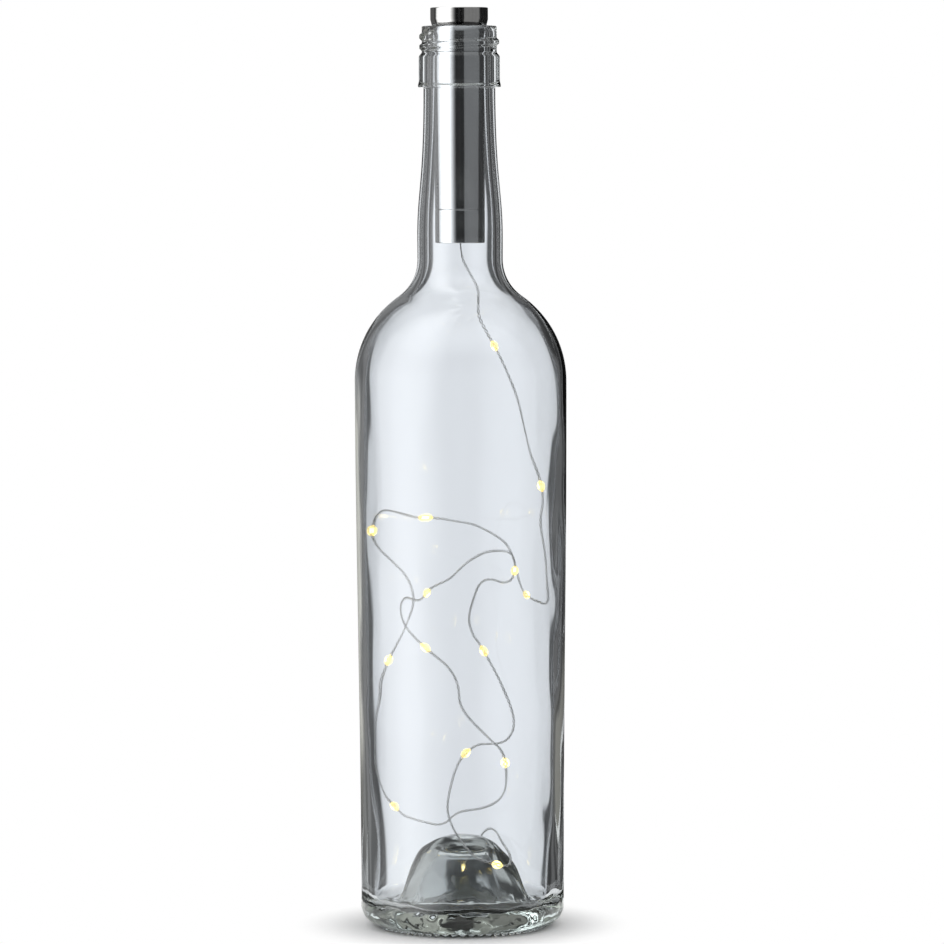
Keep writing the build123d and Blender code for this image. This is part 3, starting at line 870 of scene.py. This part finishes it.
drops = shaped(
    "light_drops",
    light_places,
    dripping,
    {"Drop length": drop_length * mm, "Drop radius": drop_radius * mm, "Material": resin},
    {"direction": light_directions},
)
drop_nodes = [f"led_drop_{number:02d}" for number in range(1, len(light_places) + 1)]
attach(drops, "bottle")
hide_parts(*drop_nodes)


# Light chips
# The bare light chip in each drop: a small die under a yellow phosphor face, soldered between the
# strands before the resin went on. It shines warm through the resin.
phosphor_yellow, phosphor_pale = (0.95, 0.78, 0.25, 1), (0.98, 0.86, 0.42, 1)
chip_strength = 4.0


def dress(node, material):
    """Gives a carried-over CAD node its material."""
    cad[node].data.materials.clear()
    cad[node].data.materials.append(material)


phosphor, tree, shader, output = new_material("light_chip")
face = two_tone(tree, grain(tree, Scale=4000.0, Detail=2.0), phosphor_yellow, phosphor_pale)
finish = {"Base Color": face, "Roughness": 0.4, "Emission Color": face, "Emission Strength": chip_strength}
fill(tree, shader, finish)
for number in range(1, len(light_places) + 1):
    dress(f"led_chip_{number:02d}", phosphor)


# Stopper shell
# A deep-drawn tube with a flared head, polished to a mirror. Head and taper seat on the mouth of
# the bottle, the tube hangs in the neck, and its lower edge meets the end cap.
head_radius = 10.4
head_height = 6.6
head_skirt_height = 2.3
shell_edge_ease = 0.3
head_wall = 1.4
head_taper = 0.25
tube_radius = 8.95
tube_wall = 1.2
end_cap_height = 12.0
button_hole_radius = 4.5
head_top = mouth + head_height
head_inside = head_top - head_wall
head_bottom = mouth + head_skirt_height
taper_bottom = head_bottom - (head_radius - tube_radius) / head_taper
seam = exit_height + end_cap_height
tube_bore_radius = tube_radius - tube_wall
hole_middle = (head_inside + head_top) / 2

smoothing, given, made = shape_tree(
    "turned_metal", {"Places": "Int", "Segments": "Int", "Material": "Material"}
)
profile = {label: given[label] for label in ("Geometry", "Places", "Segments")}
turned = result(smoothing, "GeometryNodeGroup", profile, node_tree=turning)
end_tree(smoothing, turned, given["Material"], made)


def turned_metal(name, outline, material, segments=160):
    """A round metal piece from its closed outline."""
    places = [(r * mm, 0, z * mm) for r, z in outline]
    sizes = {"Places": len(places), "Segments": segments, "Material": material}
    return shaped(name, places, smoothing, sizes)


bright_chrome, dull_chrome = (0.90, 0.90, 0.89, 1), (0.84, 0.84, 0.83, 1)
chrome, tree, shader, output = new_material("polished_metal")
polish = grain(tree, Scale=350.0, Detail=2.0, Stretch=(1, 1, 9))
finish = {
    "Base Color": two_tone(tree, polish, bright_chrome, dull_chrome),
    "Metallic": 1.0,
    "Roughness": blend_range(tree, polish, 0.0, 1.0, 0.05, 0.09),
}
fill(tree, shader, finish)

shell_outline = eased(
    [
        (button_hole_radius, hole_middle),
        (button_hole_radius, head_top),
        (head_radius, head_top),
        (head_radius, head_bottom),
        (tube_radius, taper_bottom),
        (tube_radius, seam),
        (tube_bore_radius, seam),
        (tube_bore_radius, head_inside),
        (button_hole_radius, head_inside),
        (button_hole_radius, hole_middle),
    ],
    shell_edge_ease,
)
shell = turned_metal("stopper_shell", shell_outline, chrome)
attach(shell, "stopper")
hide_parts("stopper_tube")


# Switch button
# A small turned metal button in the middle of the head, held under it by its own flange. Its top
# is slightly dished for the finger, and a stem on its underside works the switch.
button_radius = 4.3
button_recess = 0.3
button_dish = 0.25
dish_curve = ((0, 1), (0.4, 0.84), (0.62, 0.6), (0.8, 0.3))
button_bevel = 0.3
button_edge_ease = 0.15
button_segments = 96
button_flange_radius = 5.5
button_flange_thickness = 1.0
button_rest_gap = 0.1
button_stem_radius = 2.0
button_stem_length = 1.1
button_top = head_top - button_recess
flange_top = head_inside - button_rest_gap
flange_bottom = flange_top - button_flange_thickness
stem_bottom = flange_bottom - button_stem_length
dish = [(button_radius * share, button_top - button_dish * depth) for share, depth in dish_curve]
button_outline = dish[:-1] + eased(
    [
        dish[-1],
        (button_radius - button_bevel, button_top),
        (button_radius, button_top - button_bevel),
        (button_radius, flange_top),
        (button_flange_radius, flange_top),
        (button_flange_radius, flange_bottom),
        (button_stem_radius, flange_bottom),
        (button_stem_radius, stem_bottom),
        (0, stem_bottom),
    ],
    button_edge_ease,
)
button = turned_metal("push_button", button_outline, chrome, button_segments)
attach(button, "switch_button")
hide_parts("switch_button")


# End cap
# A turned cup that closes the lower end of the tube. Its spigot with a groove for the seal turns
# up into the tube, and the wire leaves through the grommet in its floor.
spigot_gap = 0.1
spigot_radius = tube_bore_radius - spigot_gap
spigot_height = 4.4
cap_bore_radius = 5.7
ledge_radius = 5.0
cap_floor = 1.4
cap_edge_ease = 0.4
driver_rise = 0.4
groove_radius = 6.73
groove_low = 0.2
groove_width = 1.2
grommet_hole_radius = 1.75
seam_gap = 0.05
cap_outline = eased(
    [
        (grommet_hole_radius, exit_height + cap_floor / 2),
        (grommet_hole_radius, exit_height + cap_floor),
        (ledge_radius, exit_height + cap_floor),
        (ledge_radius, seam + driver_rise),
        (cap_bore_radius, seam + driver_rise),
        (cap_bore_radius, seam + spigot_height),
        (spigot_radius, seam + spigot_height),
        (spigot_radius, seam + groove_low + groove_width),
        (groove_radius, seam + groove_low + groove_width),
        (groove_radius, seam + groove_low),
        (spigot_radius, seam + groove_low),
        (spigot_radius, seam - seam_gap),
        (tube_radius, seam - seam_gap),
        (tube_radius, exit_height),
        (grommet_hole_radius, exit_height),
        (grommet_hole_radius, exit_height + cap_floor / 2),
    ],
    cap_edge_ease,
)
cap = turned_metal("wire_end_cap", cap_outline, chrome)
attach(cap, "end_cap")
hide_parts("end_cap")


# Inner works
# What the tube and the end cap hide: the switch on its board, the cell between a spring and a
# contact, the driver board with its parts, the seal and the grommet.
works = {
    "switch_plastic": (("switch_plunger", "switch_body"), (0.06, 0.06, 0.065), (0.09, 0.09, 0.095), 0.55, 0),
    "spring_steel": (("negative_spring",), (0.62, 0.62, 0.60), (0.48, 0.48, 0.47), 0.28, 1),
    "circuit_board": (("switch_board", "driver_board"), (0.04, 0.22, 0.11), (0.07, 0.30, 0.16), 0.4, 0),
    "turned_brass": (("retaining_ring", "positive_contact"), (0.76, 0.60, 0.30), (0.62, 0.47, 0.22), 0.25, 1),
    "cell_steel": (("cell_can", "cell_positive_cap"), (0.70, 0.70, 0.68), (0.58, 0.58, 0.57), 0.3, 1),
    "cell_sleeve": (("cell_sleeve",), (0.16, 0.17, 0.19), (0.20, 0.21, 0.23), 0.3, 0),
    "pressed_card": (("cell_washer",), (0.85, 0.83, 0.78), (0.72, 0.69, 0.62), 0.85, 0),
    "sintered_core": (("boost_inductor",), (0.09, 0.09, 0.095), (0.14, 0.14, 0.14), 0.7, 0),
    "chip_plastic": (("driver_chip",), (0.045, 0.045, 0.045), (0.07, 0.07, 0.07), 0.5, 0),
    "fired_ceramic": (("filter_capacitor",), (0.60, 0.46, 0.32), (0.70, 0.56, 0.41), 0.45, 0),
    "solder": (("solder_tails",), (0.62, 0.62, 0.61), (0.50, 0.50, 0.49), 0.3, 1),
    "black_rubber": (("end_cap_seal", "wire_grommet"), (0.045, 0.045, 0.045), (0.075, 0.075, 0.075), 0.65, 0),
}
works_bump, works_bump_height = 0.15, 0.05
works_wear = 1.3
for name, (nodes, colour, worn, roughness, metal) in works.items():
    material, tree, shader, output = new_material(name)
    mottle = grain(tree, Scale=2200.0, Detail=4.0)
    relief = {"Height": mottle, "Strength": works_bump, "Distance": works_bump_height * mm}
    finish = {
        "Base Color": two_tone(tree, mottle, (*colour, 1), (*worn, 1)),
        "Metallic": metal,
        "Roughness": blend_range(tree, mottle, 0.0, 1.0, roughness, roughness * works_wear),
        "Normal": result(tree, "ShaderNodeBump", relief),
    }
    fill(tree, shader, finish)
    for node in nodes:
        dress(node, material)


# Button spring
# A short coil of spring steel that stands on the switch under the button's flange. It lifts the
# button after each push; in the light its turns close up as the button goes down, here the coil is fixed.
spring_wire_radius = 0.225
spring_wire_sides = 12
spring_radius = 2.9
spring_turns = 3
turn_steps = 48
plunger_rise = 1.5
touch_gap = 0.05
spring_foot = stem_bottom - plunger_rise
spring_head = flange_bottom - touch_gap
coil_low = spring_foot + spring_wire_radius
coil_high = spring_head - spring_wire_radius
coil_steps = spring_turns * turn_steps
coil_places = []
for step in range(coil_steps + 1):
    share = step / coil_steps
    angle = share * spring_turns * math.tau
    height = coil_low + (coil_high - coil_low) * share
    coil_place = Vector((spring_radius * math.cos(angle), spring_radius * math.sin(angle), height))
    coil_places.append(coil_place * mm)

coiling, given, made = shape_tree("coiled_wire", {"Wire radius": "Float", "Material": "Material"})
coil = result(coiling, "GeometryNodeMeshToCurve", {"Mesh": given["Geometry"]})
coil = tube_along(coiling, coil, given["Wire radius"], spring_wire_sides)
end_tree(coiling, coil, given["Material"], made)

spring = shaped(
    "lifting_spring",
    coil_places,
    coiling,
    {"Wire radius": spring_wire_radius * mm, "Material": bpy.data.materials["spring_steel"]},
)
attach(spring, "stopper")
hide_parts("button_spring")
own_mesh(spring)


# Picture
# The camera stands level with the neck and looks slightly down. The bottle stands on a small pale
# plate before a white ground, with one large softbox on the left.
camera_place = (0.00399, -1.8, 0.285)
camera_fall = 3.8147
camera_roll = -0.2276
eye = bpy.data.cameras.new("camera")
eye.lens = 190.14
eye.sensor_width = 36.0
eye.sensor_fit = "HORIZONTAL"
camera = bpy.data.objects.new("camera", eye)
scene.collection.objects.link(camera)
pitch = Matrix.Rotation(math.radians(90 - camera_fall), 4, "X")
roll = Matrix.Rotation(math.radians(camera_roll), 4, "Z")
camera.matrix_world = Matrix.Translation(camera_place) @ pitch @ roll
scene.camera = camera
scene.view_settings.view_transform = "Standard"

# The plate is pale in the open and fades to the ground at its rim. Glass shows it with a painted
# shadow: dark under the punt, lighter to the left and a little to the right.
plate_radius = 78
plate_sides = 96
pale_colour = (0.96, 0.96, 0.96, 1)
shade_colour = (0.045, 0.045, 0.03, 1)
shade_left = (0.36, 0.36, 0.34, 1)
shade_right = (0.12, 0.12, 0.10, 1)
shade_radii, rim_radii = (26, 36), (35, 62)
left_side, right_side = (-16, -5), (8, 18)
deep_crossings = (4.5, 5.5)
plate = bpy.data.meshes.new("floor")
turns = [k * math.tau / plate_sides for k in range(plate_sides)]
ring = [(plate_radius * mm * math.cos(turn), plate_radius * mm * math.sin(turn), 0) for turn in turns]
plate.from_pydata(ring, [], [list(range(plate_sides))])
floor = bpy.data.objects.new("floor", plate)
scene.collection.objects.link(floor)
pale, tree, shader, output = new_material("floor_white")
spot = add_node(tree, "ShaderNodeTexCoord").outputs["Object"]
reach = add_node(tree, "ShaderNodeVectorMath", {0: spot}, operation="LENGTH").outputs["Value"]
sideways = parts(tree, spot)["X"]
crossings = add_node(tree, "ShaderNodeLightPath").outputs["Transmission Depth"]
far_seen = blend_range(tree, crossings, *deep_crossings, 1.0, 0.0)
open_floor = product(tree, over_span(tree, reach, shade_radii, 0.0, 1.0), far_seen)
lit_side = over_span(tree, sideways, left_side, 1.0, 0.0)
far_side = over_span(tree, sideways, right_side, 0.0, 1.0)
shade = two_tone(tree, far_side, shade_colour, shade_right)
shade = two_tone(tree, lit_side, shade, shade_left)
fill(tree, shader, {"Base Color": two_tone(tree, open_floor, shade, pale_colour), "Roughness": 0.9})
rim = product(tree, over_span(tree, reach, rim_radii, 0.0, 1.0), far_seen)
white = result(tree, "ShaderNodeEmission", {"Color": (1, 1, 1, 1), "Strength": 1.0})
faded = result(tree, "ShaderNodeMixShader", {0: rim, 1: shader.outputs[0], 2: white})
fill(tree, output, {"Surface": faded})
plate.materials.append(pale)

# The world is white to the camera. Glass and metal see a studio by bearing: softbox on the left,
# grey walls, and a white ground behind; light that crossed much glass sees a darker one.
room_level = 0.9
softbox_start, softbox_end = (-110.0, -101.0), (-58.0, -13.0)
softbox_swell, softbox_levels = (-106.0, -66.0), (0.9, 2.2)
ground_bearings = (170.0, 175.0)
right_wall_grey, left_wall_grey = 0.17, 0.08
streak_half, streak_edges, streak_levels = 8.0, (2.0, 6.0), (0.15, 0.05)
edge_crossings, edge_level, bare_loss = (3.4, 3.6), 0.03, 0.88
lobe_half, lobe_edges, lobe_level = 22.5, (13.0, 17.0), 0.09
deep_tone = (1.0, 1.0, 0.93, 1)
studio = bpy.data.worlds.new("studio")
scene.world = studio
studio.use_nodes = True
tree = studio.node_tree
tree.nodes.clear()
ray = add_node(tree, "ShaderNodeLightPath").outputs
bearings = add_node(tree, "ShaderNodeTexCoord").outputs["Generated"]
towards = parts(tree, bearings)
azimuth = reckon(tree, "ARCTAN2", towards["X"], product(tree, towards["Y"], -1.0))
azimuth = reckon(tree, "DEGREES", azimuth)
steepness = reckon(tree, "ABSOLUTE", towards["Z"])
crossings = ray["Transmission Depth"]


def panel(start, end, start_soft, end_soft):
    """1 between the two bearings from the camera's side, 0 outside them."""
    rise = blend_range(tree, azimuth, start - start_soft, start + start_soft, 0.0, 1.0)
    fall = blend_range(tree, azimuth, end - end_soft, end + end_soft, 1.0, 0.0)
    return product(tree, rise, fall)


def choose(mask, yes, no):
    """The first level where the mask is 1, the second where it is 0."""
    return reckon(tree, "MULTIPLY_ADD", mask, reckon(tree, "SUBTRACT", yes, no), no)


def at_least(level, value, start, end, high):
    """Raises a level to high as the value goes from start to end."""
    return reckon(tree, "MAXIMUM", level, blend_range(tree, value, start, end, 0.0, high))


# In reflections: the softbox, the ground, grey walls at both sides and streaks in the glass's edge.
ground = blend_range(tree, reckon(tree, "ABSOLUTE", azimuth), *ground_bearings, 0.0, 1.0)
softbox = product(
    tree,
    blend_range(tree, azimuth, *softbox_start, 0.0, 1.0),
    blend_range(tree, azimuth, *softbox_swell, *softbox_levels),
    blend_range(tree, azimuth, *softbox_end, 1.0, 0.0),
)
streak = blend_range(tree, reckon(tree, "PINGPONG", azimuth, streak_half), *streak_edges, *streak_levels)
glass_edge = blend_range(tree, crossings, *edge_crossings, streak, edge_level)
bare = reckon(tree, "LESS_THAN", crossings, 0.5)
mirrored = reckon(tree, "ADD", softbox, ground)
mirrored = reckon(tree, "MULTIPLY_ADD", panel(20.5, 90, 1.5, 4), right_wall_grey, mirrored)
mirrored = reckon(tree, "MULTIPLY_ADD", panel(-170, -115, 3, 8), left_wall_grey, mirrored)
mirrored = reckon(tree, "MULTIPLY_ADD", panel(-178, -161, 2, 5), left_wall_grey, mirrored)
edge_share = reckon(tree, "MULTIPLY_ADD", bare, -bare_loss, 1.0)
mirrored = reckon(tree, "MULTIPLY_ADD", glass_edge, edge_share, mirrored)
mirrored = at_least(mirrored, steepness, 0.5, 0.8, 0.55)

# Straight through the glass: white with dark strips at even bearings, and pale above and below.
lobe = reckon(tree, "PINGPONG", azimuth, lobe_half)
seen_through = blend_range(tree, lobe, *lobe_edges, 1.0, lobe_level)
seen_through = at_least(seen_through, steepness, 0.2, 0.4, 0.85)

# After many crossings: brightest a little below the horizon, darker behind to the right.
deep = blend_range(tree, crossings, *deep_crossings, 0.0, 1.0)
deep_level = product(
    tree,
    blend_range(tree, towards["Z"], 0.05, 0.25, 0.6, 0.05),
    blend_range(tree, towards["Z"], -0.18, -0.1, 0.08, 1.0),
    reckon(tree, "MULTIPLY_ADD", panel(148, 167, 4, 4), -0.8, 1.0),
)
deep_level = reckon(tree, "MAXIMUM", deep_level, product(tree, panel(-168, -95, 3, 5), 0.5))
deep_level = at_least(deep_level, steepness, 0.42, 0.55, 0.9)

is_mirrored = reckon(tree, "GREATER_THAN", ray["Glossy Depth"], 0.5)
is_through = product(tree, ray["Is Transmission Ray"], reckon(tree, "SUBTRACT", 1.0, is_mirrored))
level = choose(is_through, seen_through, room_level)
level = choose(is_mirrored, mirrored, level)
level = choose(deep, deep_level, level)
level = choose(ray["Is Camera Ray"], 1.0, level)
tone = two_tone(tree, deep, (1, 1, 1, 1), deep_tone)
background = result(tree, "ShaderNodeBackground", {"Color": tone, "Strength": level})
add_node(tree, "ShaderNodeOutputWorld", {"Surface": background})
